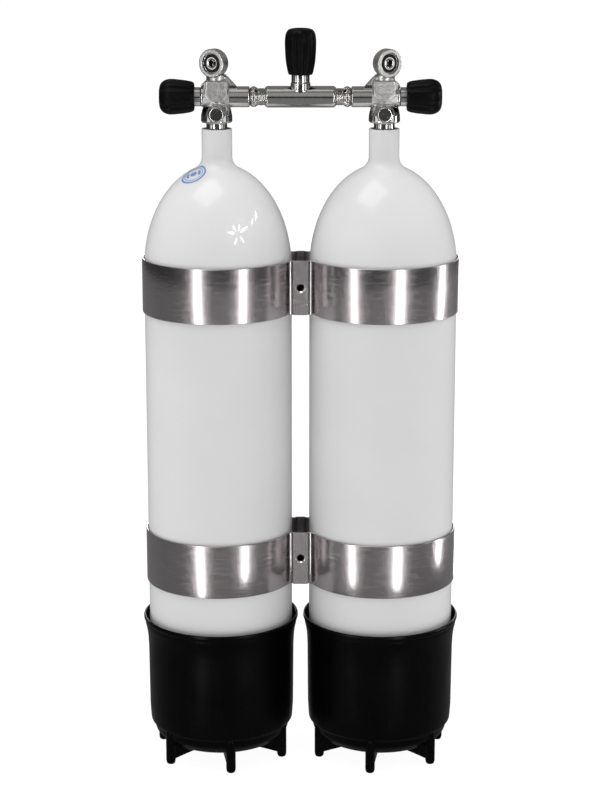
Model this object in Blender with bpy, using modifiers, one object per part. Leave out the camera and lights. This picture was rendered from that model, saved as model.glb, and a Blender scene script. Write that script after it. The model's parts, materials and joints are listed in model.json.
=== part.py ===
"""A twin scuba cylinder set: two steel cylinders in rubber boots, two stainless
figure-8 bands, and a manifold with two cylinder valves and an isolator valve.

Metres, +Z up, front at -Y, origin on the floor midway between the two cylinders.
"""

import math

import bmesh
import bpy
from mathutils import Matrix, Vector

MM = 0.001
GAP = 0.3 * MM

# Cylinders
CYL_R = 85.5 * MM
CYL_X = 95.7 * MM
CYL_BASE_Z = 27.0 * MM
SHOULDER_Z = 597.0 * MM
DOME_H = 121.0 * MM
WALL = 4.5 * MM
BASE_STEPS = 5
NECK_R = 17.5 * MM
NECK_BORE_R = 12.4 * MM
NECK_TOP_Z = 758.0 * MM
NECK_FILLET = 15.0 * MM
NECK_SEAT_R = 15.2 * MM
NECK_SEAT_DEPTH = 3.2 * MM

# Boots
BOOT_R = 87.3 * MM
BOOT_RIM_R = 92.6 * MM
BOOT_TOP_Z = 176.0 * MM
BOOT_WALL = 2.4 * MM
FOOT_COUNT = 6
FOOT_POST_R = 5.7 * MM
FOOT_REACH = 83.5 * MM
FOOT_TURN = math.radians(9.6)

# Bands
BAND_HALF_H = 31.7 * MM
BAND_ZS = {"lower": 253.1 * MM, "upper": 578.5 * MM}
BAND_MID_R = 87.0 * MM
BAND_T = 2.0 * MM
WEB_Y = 30.0 * MM
WEB_HALF_W = 9.6 * MM
HOOP_END_X = 5.5 * MM
BOLT_HOLE_R = 4.2 * MM
SPACER_R = 8.0 * MM
PLATE_HALF_W = 8.8 * MM
PLATE_T = 2.0 * MM

# Manifold
BAR_Z = 794.0 * MM
BAR_R = 11.9 * MM
ARM_END_X = 58.0 * MM
BLOCK_END_X = 40.8 * MM
BLOCK_R = 12.3 * MM
CROSSOVER_R = 9.0 * MM
CROSSOVER_THREAD_R = 10.0 * MM
CROSSOVER_BORE_R = 3.5 * MM
CROSSOVER_INNER_X = 25.0 * MM
CROSSOVER_OUTER_X = 71.5 * MM
RING_INNER_X = 48.8 * MM
OUTLET_Z = 832.5 * MM
OUTLET_R = 16.25 * MM
OUTLET_BORE_R = 11.5 * MM
OUTLET_FACE = 12.0 * MM
OUTLET_BORE_START = -2.5 * MM
OUTLET_SPLAY = math.radians(30)
INSERT_START = 1.0 * MM
INSERT_FACE = 10.0 * MM
HEX_KEY = 8.0 * MM

# Valve stems, measured outward along the stem from the seat
SEAT_X = 97.0 * MM
CHAMBER_R = 9.0 * MM
STUB_END = 16.5 * MM
BONNET_R = 10.9 * MM
ISOLATOR_BONNET_R = 10.4 * MM
KNOB_START = 24.0 * MM
SIDE_KNOB_L = 40.0 * MM
SIDE_KNOB_R = 20.25 * MM
ISOLATOR_KNOB_START = 25.2 * MM
ISOLATOR_KNOB_L = 52.0 * MM
ISOLATOR_KNOB_R = 18.3 * MM
SPINDLE_R = 3.0 * MM

# Facets round a turn, by size
BIG = 32
MEDIUM = 20
SMALL = 16
FINE = 12

PARTS = "twin_scuba_cylinders"
CUTTERS = "cutters"


# ---------------------------------------------------------------- scene tools

def clear_scene():
    for old in list(bpy.data.objects):
        bpy.data.objects.remove(old, do_unlink=True)
    for name in (PARTS, CUTTERS):
        bpy.context.scene.collection.children.link(bpy.data.collections.new(name))


def material(name, colour, roughness, metallic):
    made = bpy.data.materials.new(name)
    made.use_nodes = True
    shader = made.node_tree.nodes["Principled BSDF"]
    shader.inputs["Base Color"].default_value = (*colour, 1.0)
    shader.inputs["Roughness"].default_value = roughness
    shader.inputs["Metallic"].default_value = metallic
    made.diffuse_color = (*colour, 1.0)
    return made


def make_materials():
    return {
        "paint": material("white_paint", (0.82, 0.82, 0.83), 0.18, 0.0),
        "rubber": material("boot_rubber", (0.012, 0.012, 0.013), 0.3, 0.0),
        "knob": material("knob_rubber", (0.015, 0.015, 0.016), 0.5, 0.0),
        "stainless": material("brushed_stainless", (0.55, 0.54, 0.53), 0.28, 1.0),
        "chrome": material("chrome", (0.78, 0.77, 0.76), 0.12, 1.0),
        "brass": material("brass", (0.72, 0.52, 0.25), 0.3, 1.0),
        "seal": material("seal_rubber", (0.02, 0.02, 0.02), 0.55, 0.0),
        "nylon": material("nylon", (0.85, 0.84, 0.8), 0.5, 0.0),
    }


def placed(name, data, look, frame, helper):
    made = bpy.data.objects.new(name, data)
    bpy.data.collections[CUTTERS if helper else PARTS].objects.link(made)
    if look:
        data.materials.append(look)
    made.matrix_world = frame
    if helper:
        made.hide_render = True
        made.display_type = "WIRE"
    return made


def turned(name, profile, look=None, frame=Matrix(), steps=MEDIUM, helper=False):
    """A profile of (radius, height) points, outer side top to bottom, turned about +Z."""
    closed = min(radius for radius, _ in profile) > 0
    outline = bmesh.new()
    points = [outline.verts.new((radius, 0, height)) for radius, height in profile]
    for start, end in zip(points, points[1:]):
        outline.edges.new((start, end))
    if closed:
        outline.edges.new((points[-1], points[0]))
    data = bpy.data.meshes.new(name)
    outline.to_mesh(data)
    outline.free()
    made = placed(name, data, look, frame, helper)
    screw = made.modifiers.new("turn", "SCREW")
    screw.steps = steps
    screw.render_steps = steps
    screw.use_merge_vertices = True
    screw.merge_threshold = 0.00001
    screw.use_smooth_shade = True
    return made


def rod(name, radius, start, end, look=None, frame=Matrix(), steps=SMALL, helper=False):
    """A plain cylinder along +Z from start to end."""
    data = bpy.data.meshes.new(name)
    shape = bmesh.new()
    at = Matrix.Translation((0, 0, (start + end) / 2))
    bmesh.ops.create_cone(shape, cap_ends=True, segments=steps, radius1=radius, radius2=radius,
                          depth=end - start, matrix=at)
    shape.to_mesh(data)
    shape.free()
    return placed(name, data, look, frame, helper)


def tube(name, outer, inner, start, end, look, frame=Matrix(), steps=SMALL):
    profile = [(outer, end), (outer, start), (inner, start), (inner, end)]
    return turned(name, profile, look, frame, steps)


def ring(name, major, minor, height, look, frame=Matrix(), steps=SMALL, sides=5):
    """An O-ring about +Z."""
    profile = []
    for side in range(sides):
        angle = -math.tau * side / sides
        profile.append((major + minor * math.cos(angle), height + minor * math.sin(angle)))
    return turned(name, profile, look, frame, steps)


def plate(name, outlines, thickness, look=None, frame=Matrix(), helper=False):
    """Flat closed outlines in XY, the later ones as holes, centred on z = 0."""
    curve = bpy.data.curves.new(name, "CURVE")
    curve.dimensions = "2D"
    curve.fill_mode = "BOTH"
    curve.extrude = thickness / 2
    for outline in outlines:
        spline = curve.splines.new("POLY")
        spline.points.add(len(outline) - 1)
        for point, (x, y) in zip(spline.points, outline):
            point.co = (x, y, 0, 1)
        spline.use_cyclic_u = True
    guide = bpy.data.objects.new(name + "_outline", curve)
    bpy.context.scene.collection.objects.link(guide)
    bpy.context.view_layer.update()
    graph = bpy.context.evaluated_depsgraph_get()
    data = bpy.data.meshes.new_from_object(guide.evaluated_get(graph))
    data.name = name
    bpy.data.objects.remove(guide, do_unlink=True)
    shape = bmesh.new()
    shape.from_mesh(data)
    bmesh.ops.remove_doubles(shape, verts=shape.verts, dist=0.00001)
    bmesh.ops.recalc_face_normals(shape, faces=shape.faces)
    shape.to_mesh(data)
    shape.free()
    return placed(name, data, look, frame, helper)


def boolean(target, operation, others):
    for other in others:
        step = target.modifiers.new(operation.lower(), "BOOLEAN")
        step.operation = operation
        step.solver = "EXACT"
        step.object = other


def along(direction, origin=(0, 0, 0)):
    """A frame at origin with its +Z along direction and its +Y as near world +Z as it can be."""
    forward = Vector(direction).normalized()
    up = Vector((0, 1, 0)) if abs(forward.z) > 0.9 else Vector((0, 0, 1))
    right = up.cross(forward).normalized()
    up = forward.cross(right)
    turn = Matrix((right, up, forward)).transposed().to_4x4()
    return Matrix.Translation(origin) @ turn


def arc(centre, radius, start, end, steps):
    """Points (x, y) on an arc, angles in radians."""
    points = []
    for step in range(steps + 1):
        angle = start + (end - start) * step / steps
        points.append((centre[0] + radius * math.cos(angle), centre[1] + radius * math.sin(angle)))
    return points


# ---------------------------------------------------------------- cylinders

def shoulder_fillet():
    """Where the neck's fillet meets the dome: (radius, angle below horizontal at the dome)."""
    slope = 0.4
    for _ in range(20):
        radius = NECK_R + NECK_FILLET * (1 - math.sin(slope))
        share = radius / CYL_R
        slope = math.atan(DOME_H / CYL_R * share / math.sqrt(1 - share * share))
    return radius, slope


def cylinder_profile():
    meet_r, slope = shoulder_fillet()
    dome_end = math.acos(meet_r / CYL_R)
    fillet_z = SHOULDER_Z + DOME_H * math.sin(dome_end) + NECK_FILLET * math.cos(slope)
    outer = [(NECK_R - 1.0 * MM, NECK_TOP_Z), (NECK_R, NECK_TOP_Z - 1.0 * MM)]
    outer += arc((NECK_R + NECK_FILLET, fillet_z), NECK_FILLET, math.pi, 1.5 * math.pi - slope, 3)
    for step in range(1, 7):
        angle = dome_end * (1 - step / 6)
        outer.append((CYL_R * math.cos(angle), SHOULDER_Z + DOME_H * math.sin(angle)))
    outer += arc((0, CYL_BASE_Z + CYL_R), CYL_R, 0, -math.pi / 2, BASE_STEPS)[:-1]
    outer.append((0, CYL_BASE_Z))
    inner_r = CYL_R - WALL
    inner = [(0, CYL_BASE_Z + 2 * WALL)]
    inner += arc((0, CYL_BASE_Z + 2 * WALL + inner_r), inner_r, -math.pi / 2, 0, 3)[1:]
    bore_angle = math.acos(NECK_BORE_R / inner_r)
    for step in range(4):
        angle = bore_angle * step / 3
        height = (DOME_H - WALL) * math.sin(angle)
        inner.append((inner_r * math.cos(angle), SHOULDER_Z + height))
    seat_z = NECK_TOP_Z - NECK_SEAT_DEPTH
    inner += [(NECK_BORE_R, seat_z), (NECK_SEAT_R, seat_z), (NECK_SEAT_R, NECK_TOP_Z)]
    return inner + outer


def make_cylinder(side, name, looks):
    frame = Matrix.Translation((side * CYL_X, 0, 0))
    turned(name + "_cylinder", cylinder_profile(), looks["paint"], frame, BIG)


# ---------------------------------------------------------------- boots

def boot_profile():
    inner_r = CYL_R + GAP
    seat = CYL_BASE_Z + CYL_R
    seat_step = math.pi / 2 / BASE_STEPS
    outer = [
        (BOOT_RIM_R - 0.6 * MM, BOOT_TOP_Z),
        (BOOT_RIM_R, BOOT_TOP_Z - 1.4 * MM),
        (BOOT_RIM_R - 0.6 * MM, BOOT_TOP_Z - 8 * MM),
        (BOOT_R + 2.4 * MM, BOOT_TOP_Z - 16 * MM),
        (BOOT_R + 0.8 * MM, BOOT_TOP_Z - 25 * MM),
        (BOOT_R, BOOT_TOP_Z - 40 * MM),
        (BOOT_R - 0.6 * MM, 62 * MM),
        (BOOT_R - 2.0 * MM, 46 * MM),
        (83.8 * MM, 41 * MM),
        (80.5 * MM, 32 * MM),
        (72.0 * MM, 23 * MM),
        (58.0 * MM, 17 * MM),
        (26.0 * MM, 15 * MM),
        (0, 15.0 * MM),
    ]
    inner = [(inner_r * math.sin(seat_step * step), seat - inner_r * math.cos(seat_step * step))
             for step in range(3)]
    inner += [
        (60.0 * MM, 27.0 * MM),
        (76.0 * MM, 36.0 * MM),
        (82.5 * MM, 48.0 * MM),
        (inner_r, 60 * MM),
        (inner_r, BOOT_TOP_Z - 30 * MM),
        (BOOT_R + 0.8 * MM, BOOT_TOP_Z - 16 * MM),
        (BOOT_RIM_R - BOOT_WALL, BOOT_TOP_Z - 8 * MM),
        (BOOT_RIM_R - BOOT_WALL, BOOT_TOP_Z),
    ]
    return inner + outer


def make_foot(name):
    """One radial fin with a round post at its outer end, along +X, standing on the floor."""
    post_x = FOOT_REACH - FOOT_POST_R
    post = turned(name + "_post", [
        (0, 44 * MM), (FOOT_POST_R, 44 * MM), (FOOT_POST_R, 4.0 * MM), (FOOT_POST_R - 1.0 * MM, 1.2 * MM),
        (FOOT_POST_R - 2.6 * MM, 0), (0, 0)],
        frame=Matrix.Translation((post_x, 0, 0)), steps=FINE, helper=True)
    fin_outline = [(30 * MM, 11 * MM), (post_x, 6 * MM), (post_x, 38 * MM), (62 * MM, 26 * MM),
                   (30 * MM, 21 * MM)]
    fin = plate(name + "_fin", [fin_outline], 8.6 * MM, frame=along((0, -1, 0)), helper=True)
    boolean(post, "UNION", [fin])
    return post


def joined_copies(name, source, frames):
    """The evaluated source repeated at each frame, as one mesh."""
    bpy.context.view_layer.update()
    graph = bpy.context.evaluated_depsgraph_get()
    single = bpy.data.meshes.new_from_object(source.evaluated_get(graph))
    single.transform(source.matrix_world)
    shape = bmesh.new()
    for frame in frames:
        copy = single.copy()
        copy.transform(frame)
        shape.from_mesh(copy)
        bpy.data.meshes.remove(copy)
    data = bpy.data.meshes.new(name)
    shape.to_mesh(data)
    shape.free()
    data.materials.clear()
    return placed(name, data, None, Matrix(), True)


def make_boot(side, name, looks):
    centre = Matrix.Translation((side * CYL_X, 0, 0))
    boot = turned(name + "_boot", boot_profile(), looks["rubber"], centre, BIG)
    foot = make_foot(name + "_foot")
    front = -math.pi / 2 - side * FOOT_TURN
    turns = [centre @ Matrix.Rotation(front + math.tau * k / FOOT_COUNT, 4, "Z")
             for k in range(FOOT_COUNT)]
    boolean(boot, "UNION", [joined_copies(name + "_feet", foot, turns)])


# ---------------------------------------------------------------- bands

def band_quarter():
    """The strip's middle line from the front web's centre to the right-hand side, at -Y."""
    leave = math.radians(23)
    end = (CYL_X - BAND_MID_R * math.cos(leave), -BAND_MID_R * math.sin(leave))
    bend = (end[0] + math.tan(leave) * (WEB_Y + end[1]), -WEB_Y)
    points = [(WEB_HALF_W, -WEB_Y)]
    for step in (1, 2, 3):
        t = step / 4
        points.append(tuple((1 - t) ** 2 * a + 2 * t * (1 - t) * b + t * t * c
                            for a, b, c in zip(points[0], bend, end)))
    points += arc((CYL_X, 0), BAND_MID_R, math.pi + leave, math.tau, 16)
    return points


def hoop_line():
    """The right hoop's middle line, from its front end round the cylinder to its rear end."""
    quarter = [(HOOP_END_X, -WEB_Y)] + band_quarter()
    return quarter + [(x, -y) for x, y in reversed(quarter[:-1])]


def offset_line(points, distance):
    """The line moved outward by distance, square to itself at both ends."""
    moved = []
    last = len(points) - 1
    for index, point in enumerate(points):
        here = Vector(point)
        first = here - Vector(points[index - 1]) if index > 0 else None
        second = Vector(points[index + 1]) - here if index < last else None
        first = (first or second).normalized()
        second = (second or first).normalized()
        tangent = (first + second).normalized()
        normal = Vector((tangent.y, -tangent.x))
        moved.append(tuple(here + normal * (distance / first.dot(tangent))))
    return moved


def make_hoop(side, name, height, looks):
    """The strip round one cylinder, its two flat ends lapped under the clamp plates."""
    line = hoop_line()
    outline = offset_line(line, BAND_T / 2) + offset_line(line, -BAND_T / 2)[::-1]
    outline = [(side * x, y) for x, y in outline]
    frame = Matrix.Translation((0, 0, height))
    plate(name, [outline], 2 * BAND_HALF_H, looks["stainless"], frame)


def make_clamp_plate(name, outward, height, corner, looks, bore):
    """A flat plate on the outside of one web. Its top corners are rounded by corner."""
    w, h = PLATE_HALF_W, BAND_HALF_H
    outline = [(-w, -h), (w, -h)]
    outline += arc((w - corner, h - corner), corner, 0, math.pi / 2, 4)
    outline += arc((corner - w, h - corner), corner, math.pi / 2, math.pi, 4)
    middle = outward * (WEB_Y + BAND_T / 2 + GAP + PLATE_T / 2)
    frame = along((0, outward, 0), (0, middle, height))
    made = plate(name, [outline], PLATE_T, looks["stainless"], frame)
    boolean(made, "DIFFERENCE", [bore])


def make_band(name, height, looks):
    name += "_band"
    bore = rod(name + "_bore", BOLT_HOLE_R, -60 * MM, 60 * MM,
               frame=along((0, 1, 0), (0, 0, height)), helper=True)
    make_hoop(-1, name + "_left_hoop", height, looks)
    make_hoop(1, name + "_right_hoop", height, looks)
    make_clamp_plate(name + "_front_plate", -1, height, 0.8 * MM, looks, bore)
    make_clamp_plate(name + "_rear_plate", 1, height, 4.0 * MM, looks, bore)
    back = along((0, 1, 0), (0, 0, height))
    half = WEB_Y - BAND_T / 2 - GAP
    tube(name + "_spacer", SPACER_R, BOLT_HOLE_R, -half, half, looks["stainless"], back)
    head = WEB_Y + BAND_T / 2 + GAP + PLATE_T + GAP
    shank_r = BOLT_HOLE_R - GAP
    bolt = rod(name + "_bolt", 7.5 * MM, head, head + 5.3 * MM, looks["stainless"], back, 6)
    shank = rod(name + "_bolt_shank", shank_r, 8 * MM, head + 1 * MM, frame=back, helper=True)
    boolean(bolt, "UNION", [shank])


# ---------------------------------------------------------------- valve stems

def make_bonnet(name, look, radius, frame):
    """The gland nut: a sleeve into the body and a round head that the spindle runs in."""
    head = turned(name + "_bonnet", [
        (0, 27 * MM), (radius - 1 * MM, 27 * MM), (radius, 26 * MM), (radius, 16.8 * MM),
        (8.7 * MM, 16.8 * MM), (8.7 * MM, 7.5 * MM), (0, 7.5 * MM)], look, frame)
    bore = turned(name + "_bonnet_bore", [
        (0, 28 * MM), (SPINDLE_R + GAP, 28 * MM), (SPINDLE_R + GAP, 21.6 * MM),
        (5.0 * MM, 21.6 * MM), (5.0 * MM, 19.2 * MM), (SPINDLE_R + GAP, 19.2 * MM),
        (SPINDLE_R + GAP, 17.4 * MM), (7.2 * MM, 17.4 * MM), (7.2 * MM, 7.0 * MM), (0, 7.0 * MM)],
        frame=frame, steps=SMALL, helper=True)
    boolean(head, "DIFFERENCE", [bore])


def make_stem(name, looks, frame, bonnet_r, spindle_end):
    """Everything inside one valve, along the frame's +Z from its seat outward."""
    make_bonnet(name, looks["chrome"], bonnet_r, frame)
    rod(name + "_seat_disc", 6.0 * MM, 0.3 * MM, 1.8 * MM, looks["nylon"], frame)
    turned(name + "_seat_plug", [
        (0, 5.3 * MM), (3.6 * MM, 5.3 * MM), (3.6 * MM, 11.3 * MM), (6.5 * MM, 11.3 * MM),
        (6.5 * MM, 2.1 * MM), (0, 2.1 * MM)], looks["brass"], frame, SMALL)
    turned(name + "_spindle", [
        (0, spindle_end), (SPINDLE_R, spindle_end), (SPINDLE_R, 16.2 * MM),
        (5.5 * MM, 16.2 * MM), (5.5 * MM, 15.4 * MM), (SPINDLE_R, 15.4 * MM),
        (SPINDLE_R, 9.6 * MM), (0, 9.6 * MM)], looks["chrome"], frame, FINE)
    tube(name + "_slip_washer", 5.5 * MM, SPINDLE_R + GAP, 16.5 * MM, 17.1 * MM,
         looks["nylon"], frame, FINE)
    ring(name + "_spindle_o_ring", 4.0 * MM, 0.7 * MM, 20.4 * MM, looks["seal"], frame, FINE)


def flutes(name, count, cutter_r, at_r, start, end, frame):
    """Round cutters side by side round an axis, as one mesh."""
    single = rod(name + "_flute", cutter_r, start, end, steps=FINE, helper=True)
    turns = [frame @ Matrix.Rotation(math.tau * (k + 0.5) / count, 4, "Z")
             @ Matrix.Translation((at_r, 0, 0)) for k in range(count)]
    return joined_copies(name + "_flutes", single, turns)


def make_knob(name, profile, count, at_r, start, end, nut_start, looks, frame):
    """A fluted knob on the spindle, held by a nut in its end."""
    knob = turned(name + "_knob", profile, looks["knob"], frame, MEDIUM)
    cutter = flutes(name, count, 3.4 * MM, at_r, start, end, frame)
    boolean(knob, "DIFFERENCE", [cutter])
    nut = rod(name + "_knob_nut", 5.8 * MM, nut_start, nut_start + 4 * MM, looks["chrome"],
              frame, 6)
    hole = rod(name + "_knob_nut_hole", SPINDLE_R + GAP, nut_start - 1 * MM, nut_start + 6 * MM,
               frame=frame, steps=FINE, helper=True)
    boolean(nut, "DIFFERENCE", [hole])


def knob_body(start, length, shape, skirt_r, skirt_depth, recess_depth):
    """A knob's closed profile: shape is its outer side from the far end to the near end."""
    outer = [(radius, start + at * length) for radius, at in shape]
    floor = start + length - recess_depth
    hole = SPINDLE_R + GAP
    inner = [(skirt_r, start), (skirt_r, start + skirt_depth), (hole, start + skirt_depth),
             (hole, floor), (7.0 * MM, floor), (7.0 * MM, start + length)]
    return outer + inner


def make_side_knob(name, looks, frame):
    r = SIDE_KNOB_R
    shape = [(9.5 * MM, 1.0), (14.5 * MM, 0.97), (18.2 * MM, 0.88), (r, 0.74), (r, 0.6),
             (19.0 * MM, 0.28), (17.4 * MM, 0.07), (15.6 * MM, 0.0)]
    profile = knob_body(KNOB_START, SIDE_KNOB_L, shape, 13.0 * MM, 18 * MM, 11 * MM)
    nut_start = KNOB_START + SIDE_KNOB_L - 11 * MM + GAP
    make_knob(name, profile, 10, r + 2.2 * MM, KNOB_START - 4 * MM,
              KNOB_START + SIDE_KNOB_L * 0.9, nut_start, looks, frame)


def make_isolator_knob(name, looks, frame):
    r = ISOLATOR_KNOB_R
    shape = [(9.5 * MM, 1.0), (14.0 * MM, 0.975), (17.0 * MM, 0.9), (r, 0.78), (r, 0.6),
             (17.4 * MM, 0.3), (15.2 * MM, 0.08), (13.8 * MM, 0.0)]
    profile = knob_body(ISOLATOR_KNOB_START, ISOLATOR_KNOB_L, shape, 11.0 * MM, 24 * MM, 12 * MM)
    nut_start = ISOLATOR_KNOB_START + ISOLATOR_KNOB_L - 12 * MM + GAP
    make_knob(name, profile, 10, r + 2.3 * MM, ISOLATOR_KNOB_START - 4 * MM,
              ISOLATOR_KNOB_START + ISOLATOR_KNOB_L * 0.92, nut_start, looks, frame)


# ---------------------------------------------------------------- cylinder valves

def outlet_frame(side):
    direction = (side * math.sin(OUTLET_SPLAY), -math.cos(OUTLET_SPLAY), 0)
    return along(direction, (side * CYL_X, 0, OUTLET_Z))


def make_valve_body(side, name, looks):
    name += "_valve_body"
    post = Matrix.Translation((side * CYL_X, 0, 0))
    across = along((side, 0, 0), (0, 0, BAR_Z))
    foot = NECK_TOP_Z - 23 * MM
    body = turned(name, [
        (0, BAR_Z + 25 * MM), (11.5 * MM, BAR_Z + 25 * MM), (11.5 * MM, BAR_Z - 7 * MM),
        (14.6 * MM, BAR_Z - 9.5 * MM), (16.6 * MM, BAR_Z - 15 * MM), (17.8 * MM, BAR_Z - 21 * MM),
        (18.0 * MM, BAR_Z - 27.5 * MM), (17.0 * MM, BAR_Z - 29 * MM), (12.0 * MM, BAR_Z - 29.5 * MM),
        (12.0 * MM, foot), (0, foot)], looks["chrome"], post)
    bar = turned(name + "_bar", [
        (0, SEAT_X + STUB_END), (10.9 * MM, SEAT_X + STUB_END), (11.4 * MM, SEAT_X + STUB_END - 1 * MM),
        (BAR_R, 90 * MM), (BAR_R, ARM_END_X + 0.8 * MM), (BAR_R - 0.8 * MM, ARM_END_X),
        (0, ARM_END_X)], frame=across, helper=True)
    gusset_outline = [
        (-side * 23.3 * MM, -5 * MM), (side * 17.3 * MM, -5 * MM), (side * 17.3 * MM, 13.5 * MM),
        (side * 11.5 * MM, 19 * MM), (-side * 12.5 * MM, 23 * MM), (-side * 23.3 * MM, 11 * MM)]
    gusset = plate(name + "_gusset", [gusset_outline], 14 * MM,
                   frame=along((0, -1, 0), (side * CYL_X, 0, BAR_Z)), helper=True)
    boss = turned(name + "_boss", [
        (0, OUTLET_FACE), (OUTLET_R - 1 * MM, OUTLET_FACE), (OUTLET_R, OUTLET_FACE - 1 * MM),
        (OUTLET_R, 1 * MM), (OUTLET_R - 1.5 * MM, -2.5 * MM), (OUTLET_R - 4.5 * MM, -5.5 * MM),
        (9.0 * MM, -7.5 * MM), (0, -8 * MM)], frame=outlet_frame(side), helper=True)
    shield_outline = arc((0, 9.5 * MM), 14.0 * MM, math.radians(206), math.radians(334), 8)
    shield_outline += [(11.5 * MM, 18.5 * MM), (-11.5 * MM, 18.5 * MM)]
    shield = plate(name + "_shield", [shield_outline], 8 * MM,
                   frame=along((0, -1, 0), (side * CYL_X, -9.4 * MM, BAR_Z)), helper=True)
    bulge = turned(name + "_bulge", [
        (0, 20.2 * MM), (6.5 * MM, 20.2 * MM), (8.9 * MM, 18 * MM), (9.2 * MM, 4 * MM),
        (0, 4 * MM)],
        frame=along((0, -1, 0), (side * CYL_X, 0, BAR_Z - 18.5 * MM)), steps=SMALL, helper=True)
    boolean(body, "UNION", [bar, gusset, boss, shield, bulge])
    cuts = [
        turned(name + "_passage", [
            (0, SEAT_X + 20 * MM), (CHAMBER_R, SEAT_X + 20 * MM), (CHAMBER_R, SEAT_X),
            (4.0 * MM, SEAT_X), (4.0 * MM, 73 * MM), (CROSSOVER_R + GAP, 73 * MM),
            (CROSSOVER_R + GAP, ARM_END_X - 1 * MM), (0, ARM_END_X - 1 * MM)],
            frame=across, steps=SMALL, helper=True),
        rod(name + "_inlet", 3.3 * MM, foot - 2 * MM, BAR_Z, frame=post, steps=FINE, helper=True),
        rod(name + "_riser", 2.2 * MM, BAR_Z + 2 * MM, OUTLET_Z - 4 * MM, steps=FINE, helper=True,
            frame=Matrix.Translation((side * (CYL_X + 3.8 * MM), 3.2 * MM, 0))),
        rod(name + "_outlet", OUTLET_BORE_R, OUTLET_BORE_START, OUTLET_FACE + 2 * MM,
            frame=outlet_frame(side), steps=MEDIUM, helper=True),
    ]
    boolean(body, "DIFFERENCE", cuts)


def make_insert(side, name, looks):
    """The screw-in insert that fills the outlet, with a hexagon socket and an O-ring groove."""
    frame = outlet_frame(side)
    insert = turned(name + "_outlet_insert", [
        (7.0 * MM, INSERT_FACE), (7.0 * MM, INSERT_FACE - 2.4 * MM),
        (10.4 * MM, INSERT_FACE - 2.4 * MM), (10.4 * MM, INSERT_FACE - 0.2 * MM),
        (OUTLET_BORE_R - GAP, INSERT_FACE - 0.2 * MM), (OUTLET_BORE_R - GAP, INSERT_START),
        (2.6 * MM, INSERT_START), (2.6 * MM, INSERT_FACE)], looks["chrome"], frame)
    socket = rod(name + "_outlet_socket", HEX_KEY / math.sqrt(3), INSERT_FACE - 6.5 * MM,
                 INSERT_FACE + 2 * MM, frame=frame, steps=6, helper=True)
    boolean(insert, "DIFFERENCE", [socket])
    ring(name + "_outlet_o_ring", 8.7 * MM, 1.3 * MM, INSERT_FACE - 0.75 * MM, looks["seal"],
         frame, MEDIUM)


def make_valve(side, name, looks):
    make_valve_body(side, name, looks)
    make_insert(side, name, looks)
    post = Matrix.Translation((side * CYL_X, 0, 0))
    ring(name + "_neck_o_ring", 13.65 * MM, 1.3 * MM, NECK_TOP_Z - 1.55 * MM, looks["seal"], post)
    foot = NECK_TOP_Z - 23 * MM
    tube(name + "_dip_tube", 5.0 * MM, 3.6 * MM, foot - 38 * MM, foot - GAP, looks["brass"], post, FINE)
    stem = along((side, 0, 0), (side * SEAT_X, 0, BAR_Z))
    make_stem(name, looks, stem, BONNET_R, 58 * MM)
    make_side_knob(name, looks, stem)


# ---------------------------------------------------------------- isolator and crossover

def make_isolator_body(looks):
    name = "isolator_body"
    centre = Matrix.Translation((0, 0, BAR_Z))
    across = along((1, 0, 0), (0, 0, BAR_Z))
    half = BLOCK_END_X
    body = turned(name, [
        (0, half), (BLOCK_R - 2.2 * MM, half), (BLOCK_R, half - 2.6 * MM),
        (BLOCK_R, 2.6 * MM - half), (BLOCK_R - 2.2 * MM, -half), (0, -half)],
        looks["chrome"], across)
    stub = rod(name + "_stub", 11.2 * MM, 0, STUB_END, frame=centre, steps=MEDIUM, helper=True)
    boolean(body, "UNION", [stub])
    end_bore = CROSSOVER_R + GAP
    cuts = [
        rod(name + "_right_bore", end_bore, CROSSOVER_INNER_X - 1 * MM, half + 1 * MM,
            frame=across, helper=True),
        rod(name + "_left_bore", end_bore, -half - 1 * MM, 1 * MM - CROSSOVER_INNER_X,
            frame=across, helper=True),
        rod(name + "_chamber", CHAMBER_R, 0, STUB_END + 2 * MM, frame=centre, helper=True),
        rod(name + "_left_way", 3.0 * MM, -CROSSOVER_INNER_X, -5 * MM,
            frame=along((1, 0, 0), (0, 0, BAR_Z + 3.6 * MM)), steps=FINE, helper=True),
        rod(name + "_right_way", 2.4 * MM, 0, CROSSOVER_INNER_X,
            frame=along((1, 0, 0), (0, 0, BAR_Z - 6.6 * MM)), steps=FINE, helper=True),
        rod(name + "_seat_way", 3.0 * MM, -7 * MM, 1 * MM, frame=centre, steps=FINE, helper=True),
    ]
    boolean(body, "DIFFERENCE", cuts)


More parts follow.
